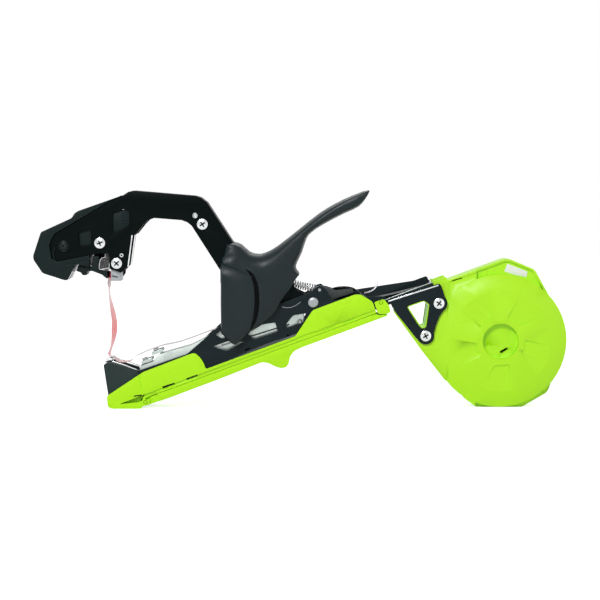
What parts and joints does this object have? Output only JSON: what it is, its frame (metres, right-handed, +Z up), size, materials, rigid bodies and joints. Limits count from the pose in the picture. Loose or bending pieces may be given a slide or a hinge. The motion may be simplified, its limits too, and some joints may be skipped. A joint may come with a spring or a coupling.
{
  "type": "plant tying tool",
  "caption": "Hand tool that loops plastic tape round a plant and its support, staples the tape and cuts it, with a tape reel behind and a moulded lever handle.",
  "frame": {"origin": "centre of the bounding box at the level of the chin and the reel foot that the tool stands on", "axes": "+X from the nose toward the tape reel, +Y from the near side to the side of the reel lid, +Z up"},
  "size_m": [0.387, 0.036, 0.1584],
  "materials": {
    "black_steel": "gloss",
    "green_plastic": "semi-gloss",
    "slate_plastic": "satin",
    "zinc_steel": "bright zinc",
    "bright_steel": "polished",
    "staple_steel": "coppered wire",
    "clear_plastic": "clear",
    "tape": "thin film"
  },
  "bodies": {
    "frame": {"main_frame": "black_steel", "grip_cover": "green_plastic", "nose_block": "slate_plastic", "tape_guide": "bright_steel", "staple_driver": "zinc_steel", "pivot_rivet": "zinc_steel", "spring_anchor_pin": "zinc_steel", "magazine_pin": "zinc_steel", "latch_pin": "zinc_steel", "finger_rail_pin": "zinc_steel", "magazine_spring": "zinc_steel", "reel_bracket": "black_steel", "bracket_screw_lower": "zinc_steel", "bracket_screw_upper": "zinc_steel", "bracket_nut_lower": "zinc_steel", "bracket_nut_upper": "zinc_steel", "reel_case": "green_plastic", "lid_hinge_pin": "zinc_steel", "tape_lead": "tape", "tape_span": "tape", "tape_wire": "bright_steel", "return_spring": "zinc_steel"},
    "lever": {"lever_arm": "black_steel", "handle": "slate_plastic", "nose_cover": "slate_plastic", "clincher": "bright_steel", "cutter_holder": "black_steel", "cutter_blade": "bright_steel", "head_screw_front": "zinc_steel", "head_screw_rear": "zinc_steel", "nose_screw": "black_steel", "arm_screw": "zinc_steel", "arm_pin": "zinc_steel", "arm_spacer": "zinc_steel", "lever_spring_pin": "zinc_steel", "head_block": "slate_plastic"},
    "tape_catch": {"tape_catch": "clear_plastic"},
    "magazine": {"magazine_rail": "bright_steel", "staple_strip": "staple_steel", "pusher_rod": "zinc_steel", "pusher_spring": "zinc_steel", "tape_gate_front": "bright_steel", "tape_gate_rear": "bright_steel"},
    "pusher": {"staple_pusher": "zinc_steel"},
    "finger_rail": {"finger_rail": "green_plastic"},
    "rail_latch": {"rail_latch": "green_plastic"},
    "reel_lid": {"reel_lid": "green_plastic"},
    "spool": {"spool_core": "slate_plastic", "tape_roll": "tape"}
  },
  "joints": [
    {"name": "lever", "type": "hinge", "parent": "frame", "child": "lever", "pos_m": [0.00899, 0, 0.07754], "axis": [0, -1, 0], "range_deg": [0, 22], "stiffness_Nm_per_rad": 0.8, "springref_deg": -34.38, "deforming": ["return_spring", "tape_span"]},
    {"name": "tape_catch", "type": "hinge", "parent": "lever", "child": "tape_catch", "pos_m": [-0.13331, 0, 0.10574], "axis": [0, 1, 0], "range_deg": [0, 8], "stiffness_Nm_per_rad": 0.02, "springref_deg": -11.46},
    {"name": "magazine", "type": "hinge", "parent": "frame", "child": "magazine", "pos_m": [-0.00067, 0, 0.0633], "axis": [0, -1, 0], "range_deg": [0, 2], "stiffness_Nm_per_rad": 2, "springref_deg": -2.86, "deforming": ["magazine_spring"]},
    {"name": "pusher", "type": "slide", "parent": "magazine", "child": "pusher", "axis": [0.9379, 0, 0.3469], "range_m": [0, 0.03], "stiffness_N_per_m": 60, "springref_m": -0.02, "deforming": ["pusher_spring"]},
    {"name": "finger_rail", "type": "hinge", "parent": "frame", "child": "finger_rail", "pos_m": [-0.1131, 0, 0.00465], "axis": [0, 1, 0], "range_deg": [0, 28]},
    {"name": "rail_latch", "type": "hinge", "parent": "frame", "child": "rail_latch", "pos_m": [0.05804, 0, 0.07755], "axis": [0, -1, 0], "range_deg": [0, 8], "stiffness_Nm_per_rad": 0.05, "springref_deg": -5.73},
    {"name": "reel_lid", "type": "hinge", "parent": "frame", "child": "reel_lid", "pos_m": [0.12867, 0.0088, 0.09651], "axis": [0.9389, 0, 0.3442], "range_deg": [0, 110]},
    {"name": "spool", "type": "hinge", "parent": "frame", "child": "spool", "pos_m": [0.14498, 0, 0.04913], "axis": [0, 1, 0], "continuous": true}
  ]
}
